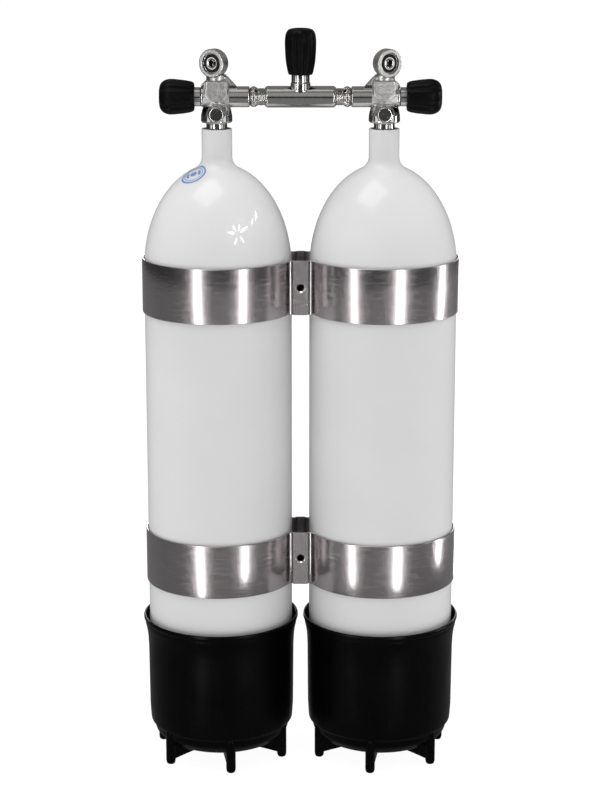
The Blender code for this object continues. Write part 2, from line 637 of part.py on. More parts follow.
def make_crossover(side, name, looks):
    """The threaded tube between the isolator and one valve, its lock ring and two O-rings."""
    frame = along((side, 0, 0), (0, 0, BAR_Z))
    groove = 7.6 * MM
    rings = (CROSSOVER_INNER_X + 5 * MM, CROSSOVER_OUTER_X - 5 * MM)
    half = 1.2 * MM
    profile = [(CROSSOVER_R, CROSSOVER_OUTER_X)]
    profile += [(CROSSOVER_R, rings[1] + half), (groove, rings[1] + half)]
    profile += [(groove, rings[1] - half), (CROSSOVER_R, rings[1] - half)]
    profile += [(CROSSOVER_R, RING_INNER_X - GAP), (CROSSOVER_THREAD_R, RING_INNER_X - GAP)]
    profile += [(CROSSOVER_THREAD_R, BLOCK_END_X + GAP), (CROSSOVER_R, BLOCK_END_X + GAP)]
    profile += [(CROSSOVER_R, rings[0] + half), (groove, rings[0] + half)]
    profile += [(groove, rings[0] - half), (CROSSOVER_R, rings[0] - half)]
    profile += [(CROSSOVER_R, CROSSOVER_INNER_X)]
    profile += [(CROSSOVER_BORE_R, CROSSOVER_INNER_X), (CROSSOVER_BORE_R, CROSSOVER_OUTER_X)]
    turned(name + "_crossover_tube", profile, looks["chrome"], frame, SMALL)
    for place, at in zip(("inner", "outer"), rings):
        ring(name + "_crossover_" + place + "_o_ring", 8.45 * MM, 0.5 * MM, at, looks["seal"],
             frame)
    far = ARM_END_X - GAP
    turned(name + "_lock_ring", [
        (9.9 * MM, far), (11.9 * MM, far - 3.4 * MM), (11.9 * MM, RING_INNER_X + 3.4 * MM),
        (9.9 * MM, RING_INNER_X), (CROSSOVER_R + GAP, RING_INNER_X), (CROSSOVER_R + GAP, far)],
        looks["chrome"], frame, SMALL)


def make_isolator(looks):
    make_isolator_body(looks)
    stem = Matrix.Translation((0, 0, BAR_Z))
    make_stem("isolator", looks, stem, ISOLATOR_BONNET_R, 71 * MM)
    make_isolator_knob("isolator", looks, stem)


def main():
    clear_scene()
    looks = make_materials()
    for side, name in ((-1, "left"), (1, "right")):
        make_cylinder(side, name, looks)
        make_boot(side, name, looks)
        make_valve(side, name, looks)
        make_crossover(side, name, looks)
    make_isolator(looks)
    for name, height in BAND_ZS.items():
        make_band(name, height, looks)


main()
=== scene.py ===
"""The looks of the twin scuba cylinder set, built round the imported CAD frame."""

import json
import math

import bmesh
import bpy
from mathutils import Matrix, Quaternion, Vector

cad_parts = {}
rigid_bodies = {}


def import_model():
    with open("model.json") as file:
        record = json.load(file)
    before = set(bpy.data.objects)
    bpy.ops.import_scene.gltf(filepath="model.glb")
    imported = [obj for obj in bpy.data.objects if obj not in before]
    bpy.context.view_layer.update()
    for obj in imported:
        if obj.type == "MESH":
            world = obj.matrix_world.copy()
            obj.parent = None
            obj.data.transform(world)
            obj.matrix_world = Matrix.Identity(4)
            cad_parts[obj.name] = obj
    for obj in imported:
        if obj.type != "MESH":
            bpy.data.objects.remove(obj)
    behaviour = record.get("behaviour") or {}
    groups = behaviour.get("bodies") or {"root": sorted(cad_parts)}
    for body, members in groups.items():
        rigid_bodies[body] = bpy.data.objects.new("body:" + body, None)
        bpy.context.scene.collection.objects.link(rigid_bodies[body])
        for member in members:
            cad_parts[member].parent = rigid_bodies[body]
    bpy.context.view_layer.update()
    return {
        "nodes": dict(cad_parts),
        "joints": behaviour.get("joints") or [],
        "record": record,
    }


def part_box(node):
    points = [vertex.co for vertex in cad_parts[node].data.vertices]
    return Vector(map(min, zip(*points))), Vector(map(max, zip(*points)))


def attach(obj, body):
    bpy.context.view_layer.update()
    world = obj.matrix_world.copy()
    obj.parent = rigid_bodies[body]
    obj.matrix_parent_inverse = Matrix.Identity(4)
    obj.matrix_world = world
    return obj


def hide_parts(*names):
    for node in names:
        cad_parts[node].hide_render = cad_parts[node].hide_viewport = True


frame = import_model()

MM = 0.001
ROOT = "tank_set"
SIDES = {"left": -1, "right": 1}
BANDS = ("lower", "upper")

# Where things are, from the frame
CYL_LOW, CYL_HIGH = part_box("right_cylinder")
CYL_X = (CYL_LOW.x + CYL_HIGH.x) / 2
CYL_R = (CYL_HIGH.x - CYL_LOW.x) / 2
CYL_BASE_Z = CYL_LOW.z
NECK_TOP_Z = CYL_HIGH.z
BOOT_LOW, BOOT_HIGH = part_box("right_boot")
RIM_R = (BOOT_HIGH.x - BOOT_LOW.x) / 2
BOOT_TOP_Z = BOOT_HIGH.z
STEMS = {joint["name"].replace("_knob_turn", ""): joint
         for joint in frame["joints"] if joint["name"].endswith("_knob_turn")}
BAR_Z = STEMS["isolator"]["pos_m"][2]

# Cylinder shape
SHOULDER_Z = CYL_HIGH.z - 161.0 * MM
DOME_H = 121.0 * MM
NECK_R = 17.5 * MM
NECK_BORE_R = 12.4 * MM
NECK_SEAT_R = 15.2 * MM
NECK_SEAT_DEPTH = 3.2 * MM
NECK_FILLET = 15.0 * MM
WALL = 4.5 * MM
MARK_R = 33.5 * MM
MARK_TURN = math.radians(-141)

# Boot shape
FOOT_COUNT = 6
FOOT_R = 5.7 * MM
FOOT_REACH = 83.5 * MM
FOOT_TURN = math.radians(9.6)

# Band shape
BAND_MID_R = 87.0 * MM
BAND_T = 2.0 * MM
WEB_Y = 30.0 * MM
WEB_HALF_W = 9.6 * MM
HOOP_END_X = 5.5 * MM
BOLT_HOLE_R = 4.2 * MM

# Outlet
OUTLET_SPLAY = math.radians(30)
OUTLET_Z = 832.5 * MM
STEM_CHAMBER = [(0, 20 * MM), (9.0 * MM, 20 * MM), (9.0 * MM, 0), (0, 0)]


# ---------------------------------------------------------------- node materials

class Shader:
    """A material with a Principled shader and short helpers for its node tree."""

    def __init__(self, name, roughness, metallic=0.0, **sockets):
        self.material = bpy.data.materials.new(name)
        self.material.use_nodes = True
        self.tree = self.material.node_tree
        self.principled = self.tree.nodes["Principled BSDF"]
        self.principled.inputs["Roughness"].default_value = roughness
        self.principled.inputs["Metallic"].default_value = metallic
        for socket, value in sockets.items():
            self.principled.inputs[socket.replace("_", " ")].default_value = value

    def node(self, kind, **settings):
        made = self.tree.nodes.new("ShaderNode" + kind)
        for name, value in settings.items():
            setattr(made, name, value)
        return made

    def link(self, source, target):
        self.tree.links.new(source, target)

    def place(self, scale=(1, 1, 1), uv=False):
        """Object coordinates, or the UV map, stretched by scale."""
        coordinates = self.node("TexCoord")
        mapping = self.node("Mapping")
        mapping.inputs["Scale"].default_value = scale
        self.link(coordinates.outputs["UV" if uv else "Object"], mapping.inputs["Vector"])
        return mapping.outputs["Vector"]

    def noise(self, where, scale, detail=3.0, roughness=0.5):
        made = self.node("TexNoise")
        made.inputs["Scale"].default_value = scale
        made.inputs["Detail"].default_value = detail
        made.inputs["Roughness"].default_value = roughness
        self.link(where, made.inputs["Vector"])
        return made.outputs["Fac"]

    def spread(self, value, low, high, to_low, to_high):
        made = self.node("MapRange", clamp=True)
        made.inputs["From Min"].default_value = low
        made.inputs["From Max"].default_value = high
        made.inputs["To Min"].default_value = to_low
        made.inputs["To Max"].default_value = to_high
        self.link(value, made.inputs["Value"])
        return made.outputs["Result"]

    def math(self, operation, first, second):
        made = self.node("Math", operation=operation)
        for socket, value in zip(made.inputs, (first, second)):
            if isinstance(value, (int, float)):
                socket.default_value = value
            else:
                self.link(value, socket)
        return made.outputs["Value"]

    def blend(self, share, first, second):
        """A colour between first and second, both (r, g, b) or an output."""
        made = self.node("Mix", data_type="RGBA")
        self.link(share, made.inputs["Factor"])
        for socket, value in zip((made.inputs["A"], made.inputs["B"]), (first, second)):
            self.put(made, socket.name, value)
        return made.outputs[2]

    def put(self, made, name, value):
        socket = [s for s in made.inputs if s.name == name and s.type == "RGBA"][0]
        if isinstance(value, tuple):
            socket.default_value = (*value, 1.0)
        else:
            self.link(value, socket)

    def colour(self, value):
        self.put(self.principled, "Base Color", value)

    def rough(self, value):
        self.link(value, self.principled.inputs["Roughness"])

    def bump(self, height, strength, distance):
        made = self.node("Bump")
        made.inputs["Strength"].default_value = strength
        made.inputs["Distance"].default_value = distance
        self.link(height, made.inputs["Height"])
        self.link(made.outputs["Normal"], self.principled.inputs["Normal"])

    def crevice_shade(self, reach):
        """Painted shade: 0 in crevices, where shade falls, to 1 on open faces."""
        occlusion = self.node("AmbientOcclusion", samples=8)
        occlusion.inputs["Distance"].default_value = reach
        return self.spread(occlusion.outputs["AO"], 0.35, 0.95, 0.0, 1.0)


def paint():
    """Glossy white enamel with a faint orange peel, greyer in patches."""
    s = Shader("white_paint", 0.35, Specular_IOR_Level=0.15, Coat_Weight=0.5, Coat_Roughness=0.025)
    where = s.place()
    soft = s.noise(where, 9.0, 3.0)
    fine = s.noise(where, 260.0, 2.0)
    grain = s.noise(where, 900.0, 2.0)
    s.colour(s.blend(s.spread(soft, 0.35, 0.7, 0.0, 1.0), (0.775, 0.775, 0.78), (0.81, 0.81, 0.81)))
    s.rough(s.spread(grain, 0.3, 0.7, 0.28, 0.42))
    s.bump(fine, 0.06, 0.0004)
    return s.material


def boot_rubber():
    """Semi-gloss black moulding with a fine grain and scattered scuffs."""
    s = Shader("boot_rubber", 0.32, Specular_IOR_Level=0.08)
    where = s.place()
    cloud = s.noise(where, 26.0, 5.0, 0.6)
    grain = s.noise(where, 1500.0, 2.0)
    scuff = s.noise(s.place((60, 60, 9)), 3.0, 4.0, 0.7)
    marks = s.spread(scuff, 0.62, 0.75, 0.0, 0.5)
    s.colour(s.blend(marks, s.blend(cloud, (0.0004, 0.0004, 0.0005), (0.0014, 0.0014, 0.0015)),
                     (0.006, 0.006, 0.0063)))
    s.rough(s.math("ADD", s.spread(cloud, 0.3, 0.7, 0.27, 0.38), s.math("MULTIPLY", marks, 0.2)))
    s.bump(s.math("ADD", grain, s.math("MULTIPLY", cloud, 2.0)), 0.25, 0.00012)
    return s.material


def knob_rubber():
    """Matte black rubber with a fine moulded grain."""
    s = Shader("knob_rubber", 0.42, Specular_IOR_Level=0.08)
    where = s.place()
    cloud = s.noise(where, 90.0, 4.0, 0.6)
    grain = s.noise(where, 2200.0, 2.0)
    s.colour(s.blend(cloud, (0.0008, 0.0008, 0.0009), (0.003, 0.003, 0.0031)))
    s.rough(s.spread(cloud, 0.3, 0.7, 0.32, 0.46))
    s.bump(grain, 0.35, 0.0001)
    return s.material


def stainless(name, along, tone):
    """Steel brushed lengthwise: scratches are long along the brushing and fine across it."""
    s = Shader(name, 0.2, 1.0, Anisotropic=0.55)
    where = s.place(along, uv=True)
    lines = s.noise(where, 1.0, 4.0, 0.65)
    wide = s.noise(s.place((14, 3, 1), uv=True), 1.0, 2.0)
    dark, light = (tone * 0.66, tone * 0.61, tone * 0.62), (tone * 1.06, tone * 1.0, tone * 1.01)
    share = s.spread(s.math("ADD", s.math("MULTIPLY", lines, 0.6), s.math("MULTIPLY", wide, 0.4)),
                     0.35, 0.65, 0.0, 1.0)
    # Painted shade: the colour goes near black in crevices and recesses, by ambient occlusion.
    s.colour(s.blend(s.crevice_shade(3 * MM), (0.1, 0.095, 0.095), s.blend(share, dark, light)))
    s.rough(s.spread(lines, 0.3, 0.7, 0.12, 0.3))
    s.bump(lines, 0.22, 0.00005)
    tangent = s.node("Tangent", direction_type="UV_MAP", uv_map="UVMap")
    s.link(tangent.outputs["Tangent"], s.principled.inputs["Tangent"])
    return s.material


def chrome():
    """Polished chrome, with a duller blasted skin where a casting is marked satin, and painted shade darkening its
    crevices.
    """
    s = Shader("chrome", 0.1, 1.0)
    where = s.place()
    cast = s.noise(where, 160.0, 3.0, 0.55)
    spots = s.noise(where, 700.0, 3.0, 0.6)
    satin = s.node("Attribute", attribute_name="satin").outputs["Fac"]
    unshaded_share = s.crevice_shade(4 * MM)
    polished = s.blend(s.spread(spots, 0.35, 0.7, 0.0, 1.0), (0.56, 0.55, 0.54), (0.66, 0.65, 0.64))
    blasted = s.blend(s.spread(spots, 0.35, 0.65, 0.0, 1.0), (0.5, 0.49, 0.475), (0.68, 0.67, 0.655))
    # Painted shade: the colour goes near black in crevices and recesses, by ambient occlusion.
    s.colour(s.blend(unshaded_share, (0.11, 0.105, 0.1), s.blend(satin, polished, blasted)))
    s.rough(s.math("ADD", s.spread(cast, 0.3, 0.7, 0.07, 0.17), s.math("MULTIPLY", satin, 0.24)))
    grain = s.math("MULTIPLY", s.math("MULTIPLY", spots, 1.4), satin)
    s.bump(s.math("ADD", cast, grain), 0.25, 0.0003)
    return s.material


def brass():
    """Turned brass with rings of tool marks and a slight tarnish."""
    s = Shader("brass", 0.3, 1.0)
    where = s.place()
    tarnish = s.noise(where, 220.0, 4.0, 0.6)
    s.colour(s.blend(tarnish, (0.5, 0.33, 0.13), (0.78, 0.56, 0.27)))
    s.rough(s.spread(tarnish, 0.3, 0.7, 0.22, 0.42))
    s.bump(s.noise(s.place((300, 300, 2500)), 1.0, 2.0), 0.15, 0.00005)
    return s.material


def seal_rubber():
    """Dull black O-ring rubber with a trace of grease."""
    s = Shader("seal_rubber", 0.5)
    grease = s.noise(s.place(), 500.0, 3.0)
    s.colour(s.blend(grease, (0.008, 0.008, 0.008), (0.02, 0.02, 0.021)))
    s.rough(s.spread(grease, 0.35, 0.65, 0.3, 0.6))
    return s.material


def nylon():
    """Off-white engineering plastic with a faint mottle."""
    s = Shader("nylon", 0.45, Subsurface_Weight=0.1)
    mottle = s.noise(s.place(), 400.0, 3.0)
    s.colour(s.blend(mottle, (0.72, 0.7, 0.64), (0.85, 0.83, 0.78)))
    s.rough(s.spread(mottle, 0.35, 0.65, 0.38, 0.52))
    return s.material


def decal_blue():
    """Printed blue sticker film."""
    s = Shader("decal_blue", 0.3, Coat_Weight=0.6, Coat_Roughness=0.1)
    ink = s.noise(s.place(), 1200.0, 3.0)
    s.colour(s.blend(ink, (0.12, 0.25, 0.6), (0.2, 0.36, 0.74)))
    s.rough(s.spread(ink, 0.3, 0.7, 0.25, 0.4))
    return s.material


LOOKS = {
    "white_paint": paint(),
    "boot_rubber": boot_rubber(),
    "knob_rubber": knob_rubber(),
    "brushed_stainless": stainless("brushed_stainless", (30, 5200, 1), 0.5),
    "plate_steel": stainless("plate_steel", (30, 5200, 1), 0.86),
    "chrome": chrome(),
    "brass": brass(),
    "seal_rubber": seal_rubber(),
    "nylon": nylon(),
}
DECAL = decal_blue()

# The pieces that each kind of small light shines on, by their looks
SHINE_ON = {
    "strip": ("brushed_stainless", "plate_steel", "chrome", "boot_rubber", "knob_rubber"),
    "back": ("brushed_stainless", "plate_steel", "boot_rubber"),
    "card": ("chrome",),
    "rim": ("boot_rubber",),
}
LIT = {kind: bpy.data.collections.new(kind + "_lit") for kind in SHINE_ON}


# ---------------------------------------------------------------- shape tools

def arc(centre, radius, start, end, steps):
    """Points (x, y) on an arc, angles in radians."""
    return [(centre[0] + radius * math.cos(start + (end - start) * k / steps),
             centre[1] + radius * math.sin(start + (end - start) * k / steps))
            for k in range(steps + 1)]


def rounded(points, radius, steps=4):
    """An open polyline with each inner corner rounded, by at most half of its shorter side."""
    result = [points[0]]
    for before, here, after in zip(points, points[1:], points[2:]):
        here, back, forth = Vector(here), Vector(before), Vector(after)
        back, forth = back - here, forth - here
        cut = min(radius, back.length * 0.45, forth.length * 0.45)
        start, end = here + back.normalized() * cut, here + forth.normalized() * cut
        for k in range(steps + 1):
            t = k / steps
            point = (1 - t) ** 2 * start + 2 * t * (1 - t) * here + t * t * end
            result.append(tuple(point))
    result.append(points[-1])
    return result


def along(direction, origin=(0, 0, 0)):
    """A frame at origin with +Z along direction and +Y as near world +Z as it can be."""
    forward = Vector(direction).normalized()
    up = Vector((0, 1, 0)) if abs(forward.z) > 0.9 else Vector((0, 0, 1))
    right = up.cross(forward).normalized()
    up = forward.cross(right)
    return Matrix.Translation(origin) @ Matrix((right, up, forward)).transposed().to_4x4()


def lathe(shape, profile, steps, place=Matrix(), swell=None, closed=False):
    """Adds a turned profile of (radius, height) to the bmesh. swell(angle, share) scales its radius."""
    loops = []
    last = len(profile) - 1
    for index, (radius, height) in enumerate(profile):
        if radius < 1e-6:
            loops.append([shape.verts.new(place @ Vector((0, 0, height)))])
            continue
        loop = []
        for k in range(steps):
            angle = math.tau * k / steps
            r = radius * (swell(angle, index / last) if swell else 1)
            loop.append(shape.verts.new(place @ Vector((r * math.cos(angle), r * math.sin(angle), height))))
        loops.append(loop)
    pairs = list(zip(loops, loops[1:]))
    if closed:
        pairs.append((loops[-1], loops[0]))
    for upper, lower in pairs:
        for k in range(steps):
            n = (k + 1) % steps
            corners = [upper[k % len(upper)], lower[k % len(lower)], lower[n % len(lower)], upper[n % len(upper)]]
            face = list(dict.fromkeys(corners))
            if len(face) > 2:
                shape.faces.new(face)


def prism(shape, outline, thickness, place):
    """Adds a flat outline in XY, as thick as thickness about z = 0."""
    layers = []
    for z in (-thickness / 2, thickness / 2):
        layers.append([shape.verts.new(place @ Vector((x, y, z))) for x, y in outline])
    shape.faces.new(reversed(layers[0]))
    shape.faces.new(layers[1])
    count = len(outline)
    for k in range(count):
        n = (k + 1) % count
        shape.faces.new((layers[0][k], layers[0][n], layers[1][n], layers[1][k]))


def piece(name, shape, look, body=ROOT, stands_for=(), sharp=35):
    """Turns the bmesh into a piece of the object that rides on a body."""
    bmesh.ops.recalc_face_normals(shape, faces=shape.faces)
    data = bpy.data.meshes.new(name)
    shape.to_mesh(data)
    shape.free()
    made = bpy.data.objects.new(name, data)
    bpy.context.scene.collection.objects.link(made)
    data.materials.append(LOOKS.get(look, DECAL))
    for kind, looks in SHINE_ON.items():
        if look in looks:
            LIT[kind].objects.link(made)
    data.shade_smooth()
    data.set_sharp_from_angle(angle=math.radians(sharp))
    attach(made, body)
    if stands_for:
        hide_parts(*stands_for)
    return made


def bevelled(made, width, segments=3, angle=30):
    edges = made.modifiers.new("edges", "BEVEL")
    edges.width = width
    edges.segments = segments
    edges.limit_method = "ANGLE"
    edges.angle_limit = math.radians(angle)
    edges.harden_normals = True
    return made


def applied(made):
    """The piece with its modifiers made part of its mesh."""
    bpy.context.view_layer.update()
    graph = bpy.context.evaluated_depsgraph_get()
    old = made.data
    made.data = bpy.data.meshes.new_from_object(made.evaluated_get(graph))
    made.modifiers.clear()
    bpy.data.meshes.remove(old)
    return made


def cast(made, voxel, smooth):
    """Melts overlapping shapes into one casting with soft inner corners."""
    melt = made.modifiers.new("melt", "REMESH")
    melt.mode = "VOXEL"
    melt.voxel_size = voxel
    melt.use_smooth_shade = True
    ease = made.modifiers.new("ease", "SMOOTH")
    ease.factor = 0.5
    ease.iterations = smooth
    return applied(made)


# ---------------------------------------------------------------- cylinders

def shoulder_fillet():
    """Where the neck's fillet meets the dome: (radius, slope there)."""
    slope = 0.4
    for _ in range(20):
        radius = NECK_R + NECK_FILLET * (1 - math.sin(slope))
        share = radius / CYL_R
        slope = math.atan(DOME_H / CYL_R * share / math.sqrt(1 - share * share))
    return radius, slope


def cylinder_profile():
    meet_r, slope = shoulder_fillet()
    dome_end = math.acos(meet_r / CYL_R)
    fillet_z = SHOULDER_Z + DOME_H * math.sin(dome_end) + NECK_FILLET * math.cos(slope)
    seat_z = NECK_TOP_Z - NECK_SEAT_DEPTH
    outer = rounded([(NECK_BORE_R, seat_z - 4 * MM), (NECK_BORE_R, seat_z), (NECK_SEAT_R, seat_z),
                     (NECK_SEAT_R, NECK_TOP_Z), (NECK_R, NECK_TOP_Z), (NECK_R, NECK_TOP_Z - 4 * MM)], 0.9 * MM)
    outer += arc((NECK_R + NECK_FILLET, fillet_z), NECK_FILLET, math.pi, 1.5 * math.pi - slope, 14)
    for k in range(1, 37):
        angle = dome_end * (1 - k / 36)
        outer.append((CYL_R * math.cos(angle), SHOULDER_Z + DOME_H * math.sin(angle)))
    base = arc((0, CYL_BASE_Z + CYL_R), CYL_R, 0, -math.pi / 2, 24)
    outer += base[:-1] + [(0, CYL_BASE_Z)]
    inner_r = CYL_R - WALL
    inner = [(0, CYL_BASE_Z + 2 * WALL)]
    inner += arc((0, CYL_BASE_Z + 2 * WALL + inner_r), inner_r, -math.pi / 2, 0, 10)[1:]
    bore = math.acos(NECK_BORE_R / inner_r)
    inner += [(inner_r * math.cos(bore * k / 12), SHOULDER_Z + (DOME_H - WALL) * math.sin(bore * k / 12))
              for k in range(13)]
    return inner + outer


def make_cylinder(name, side):
    shape = bmesh.new()
    lathe(shape, cylinder_profile(), 144, Matrix.Translation((side * CYL_X, 0, 0)))
    piece(name + "_cylinder_shell", shape, "white_paint", stands_for=[name + "_cylinder"])


def shoulder_height(radius):
    """The height of the cylinder's outer wall on its dome or neck fillet."""
    meet_r, slope = shoulder_fillet()
    dome = SHOULDER_Z + DOME_H * math.sqrt(max(0.0, 1 - (max(radius, meet_r) / CYL_R) ** 2))
    if radius >= meet_r:
        return dome
    middle = NECK_R + NECK_FILLET
    return dome + NECK_FILLET * math.cos(slope) - math.sqrt(max(0.0, NECK_FILLET ** 2 - (middle - radius) ** 2))


def on_shoulder(u, v):
    """A point just above the left shoulder: u to the right and v up from the mark's centre."""
    outward, step = MARK_R, math.copysign(0.1 * MM, v)
    for _ in range(round(abs(v) / abs(step))):
        rise = (shoulder_height(outward - 0.05 * MM) - shoulder_height(outward + 0.05 * MM)) / (0.1 * MM)
        outward -= step / math.hypot(1, rise)
    x = outward * math.cos(MARK_TURN) - u * math.sin(MARK_TURN)
    y = outward * math.sin(MARK_TURN) + u * math.cos(MARK_TURN)
    reach, lift = math.hypot(x, y), 0.15 * MM
    return -CYL_X + x * (1 + lift / reach), y * (1 + lift / reach), shoulder_height(reach) + lift


def make_shoulder_mark():
    """A plain printed ring with a dot and two bars, on the left cylinder's shoulder."""
    shape = bmesh.new()
    for inner, outer, start, end in ((13.4, 15.6, 0, 360), (10.8, 11.7, 0, 360), (0.0, 4.2, 0, 360),
                                     (5.9, 8.9, 10, 80), (5.9, 8.9, 190, 260)):
        steps = (end - start) // 5
        rings = []
        for radius in (inner, (inner + outer) / 2, outer):
            rings.append([shape.verts.new(on_shoulder(*point))
                          for point in arc((0, 0), radius * MM, math.radians(start), math.radians(end), steps)])
        for first, second in zip(rings, rings[1:]):
            for k in range(steps):
                shape.faces.new((first[k], first[k + 1], second[k + 1], second[k]))
    bmesh.ops.remove_doubles(shape, verts=shape.verts, dist=1e-6)
    piece("left_shoulder_mark", shape, "decal")


# ---------------------------------------------------------------- boots

def boot_profile():
    """Seat, inner wall, rolled rim, outer wall, crease and bowl of a boot."""
    inner_r = CYL_R + 0.3 * MM
    seat, top = CYL_BASE_Z + CYL_R, BOOT_TOP_Z
    inner = [(inner_r * math.sin(math.radians(3.6 * k)), seat - inner_r * math.cos(math.radians(3.6 * k)))
             for k in range(11)]
    wall = [(60, 27), (76, 36), (82.5, 48), (85.8, 60), (85.8, top / MM - 30), (88.1, top / MM - 16),
            (89.9, top / MM - 8), (89.9, top / MM - 0.1), (RIM_R / MM - 0.7, top / MM - 0.1),
            (RIM_R / MM, top / MM - 1.6), (RIM_R / MM, top / MM - 4.6), (RIM_R / MM - 1.5, top / MM - 6.2),
            (91.0, top / MM - 10), (89.3, top / MM - 17), (88.0, top / MM - 26), (87.3, top / MM - 40),
            (86.7, 62), (85.9, 49), (85.5, 44.5), (84.9, 43.1), (82.6, 42.2), (81.2, 40), (80.3, 32), (72, 23), (58, 17),
            (26, 15)]
    wall = rounded([(radius * MM, height * MM) for radius, height in wall], 3.0 * MM)
    return inner + wall + [(0, 15 * MM)]


def add_foot(shape, place):
    """A round-ended post and the radial fin behind it."""
    post_x = FOOT_REACH - FOOT_R
    post = rounded([(0.5 * MM, 0.05 * MM), (3.1 * MM, 0.05 * MM), (4.9 * MM, 1.3 * MM), (FOOT_R, 4.4 * MM),
                    (FOOT_R, 40 * MM), (4.2 * MM, 43.5 * MM), (0.5 * MM, 44.5 * MM)], 2.5 * MM)
    post = [(0, 0.05 * MM)] + post + [(0, 44.6 * MM)]
    lathe(shape, post[::-1], 32, place @ Matrix.Translation((post_x, 0, 0)))
    fin = rounded([(30 * MM, 15 * MM), (30 * MM, 11 * MM), (60 * MM, 8.2 * MM), (post_x, 6 * MM),
                   (post_x, 39 * MM), (64 * MM, 27 * MM), (30 * MM, 21 * MM), (30 * MM, 17 * MM)], 3 * MM)
    prism(shape, fin, 8.6 * MM, place @ along((0, -1, 0)))


def make_boot(name, side):
    centre = Matrix.Translation((side * CYL_X, 0, 0))
    shape = bmesh.new()
    lathe(shape, boot_profile(), 144, centre)
    front = -math.pi / 2 - side * FOOT_TURN
    for k in range(FOOT_COUNT):
        add_foot(shape, centre @ Matrix.Rotation(front + math.tau * k / FOOT_COUNT, 4, "Z"))
    boot = piece(name + "_boot_shell", shape, "boot_rubber", stands_for=[name + "_boot"])
    bevelled(boot, 0.7 * MM, angle=50)


# ---------------------------------------------------------------- bands

def hoop_line(side):
    """A hoop's middle line round its cylinder, from its front end to its back end."""
    leave = math.radians(23)
    end = (CYL_X - BAND_MID_R * math.cos(leave), -BAND_MID_R * math.sin(leave))
    bend = (end[0] + math.tan(leave) * (WEB_Y + end[1]), -WEB_Y)
    start = (WEB_HALF_W, -WEB_Y)
    front = [(HOOP_END_X, -WEB_Y), ((HOOP_END_X + WEB_HALF_W) / 2, -WEB_Y), start]
    for k in range(1, 12):
        t = k / 12
        front.append(tuple((1 - t) ** 2 * a + 2 * t * (1 - t) * b + t * t * c
                           for a, b, c in zip(start, bend, end)))
    front += arc((CYL_X, 0), BAND_MID_R, math.pi + leave, math.tau, 64)
    whole = front + [(x, -y) for x, y in reversed(front[:-1])]
    return [Vector((side * x, y)) for x, y in whole]


def band_section(half_h):
    """The strip's rounded cross-section: (outward, up)."""
    half_t, round_r = BAND_T / 2, 0.7 * MM
    corners = [(half_t - round_r, half_h - round_r, 0), (round_r - half_t, half_h - round_r, 90),
               (round_r - half_t, round_r - half_h, 180), (half_t - round_r, round_r - half_h, 270)]
    section = []
    for x, y, start in corners:
        section += arc((x, y), round_r, math.radians(start), math.radians(start + 90), 4)
    return section


def make_hoop(name, side):
    """One bent strip with flat ends, with a UV map in metres: u along it, v up it."""
    low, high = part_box(name)
    middle_z, section = (low.z + high.z) / 2, band_section((high.z - low.z) / 2)
    line = hoop_line(side)
    shape = bmesh.new()
    rings, run = [], []
    for index, here in enumerate(line):
        before, after = line[max(index - 1, 0)], line[min(index + 1, len(line) - 1)]
        run.append(run[-1] + (here - before).length if run else 0.0)
        tangent = (after - before).normalized()
        normal = Vector((tangent.y, -tangent.x)) * side
        rings.append([shape.verts.new((*(here + normal * out), middle_z + up)) for out, up in section])
    layer = shape.loops.layers.uv.new("UVMap")
    sides = len(section)
    for i in range(len(line) - 1):
        for j in range(sides):
            m = (j + 1) % sides
            face = shape.faces.new((rings[i][j], rings[i + 1][j], rings[i + 1][m], rings[i][m]))
            for loop, u, v in zip(face.loops, (run[i], run[i + 1], run[i + 1], run[i]), (j, j, m, m)):
                out, up = section[v]
                loop[layer].uv = (u, up + out)
    for ring in (rings[0], rings[-1]):
        shape.faces.new(ring)
    piece(name + "_strip", shape, "brushed_stainless", stands_for=[name])


def flat_uv(data):
    """A UV map in metres: u across the piece, v up it."""
    layer = data.uv_layers.get("UVMap") or data.uv_layers.new(name="UVMap")
    for loop in data.loops:
        point = data.vertices[loop.vertex_index].co
        layer.data[loop.index].uv = (point[0] + point[1], point[2])


def bored(made, profile, centre, direction, steps=40):
    """Cuts a turned hole of (radius, depth) into the piece."""
    shape = bmesh.new()
    lathe(shape, profile, steps, along(direction, centre))
    bmesh.ops.recalc_face_normals(shape, faces=shape.faces)
    data = bpy.data.meshes.new("bore")
    shape.to_mesh(data)
    shape.free()
    cutter = bpy.data.objects.new("bore", data)
    bpy.context.scene.collection.objects.link(cutter)
    cut = made.modifiers.new("bore", "BOOLEAN")
    cut.object = cutter
    applied(made)
    bpy.data.objects.remove(cutter, do_unlink=True)


def make_clamp_plate(name, outward, corner):
    low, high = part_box(name)
    middle = (low + high) / 2
    w, h, thick = (high.x - low.x) / 2, (high.z - low.z) / 2, high.y - low.y
    outline = [(-w, -h), (w, -h)]
    outline += arc((w - corner, h - corner), corner, 0, math.pi / 2, 8)
    outline += arc((corner - w, h - corner), corner, math.pi / 2, math.pi, 8)
    shape = bmesh.new()
    prism(shape, outline, thick, along((0, outward, 0), middle))
    made = piece(name + "_face", shape, "plate_steel", stands_for=[name])
    face, wide = thick / 2, BOLT_HOLE_R + 1.3 * MM
    bored(made, [(0, face + 5 * MM), (wide + 5 * MM, face + 5 * MM), (BOLT_HOLE_R, face - 1.3 * MM),
                 (BOLT_HOLE_R, -5 * MM), (0, -5 * MM)], middle, (0, outward, 0))
    applied(bevelled(made, 0.2 * MM, 2))
    flat_uv(made.data)


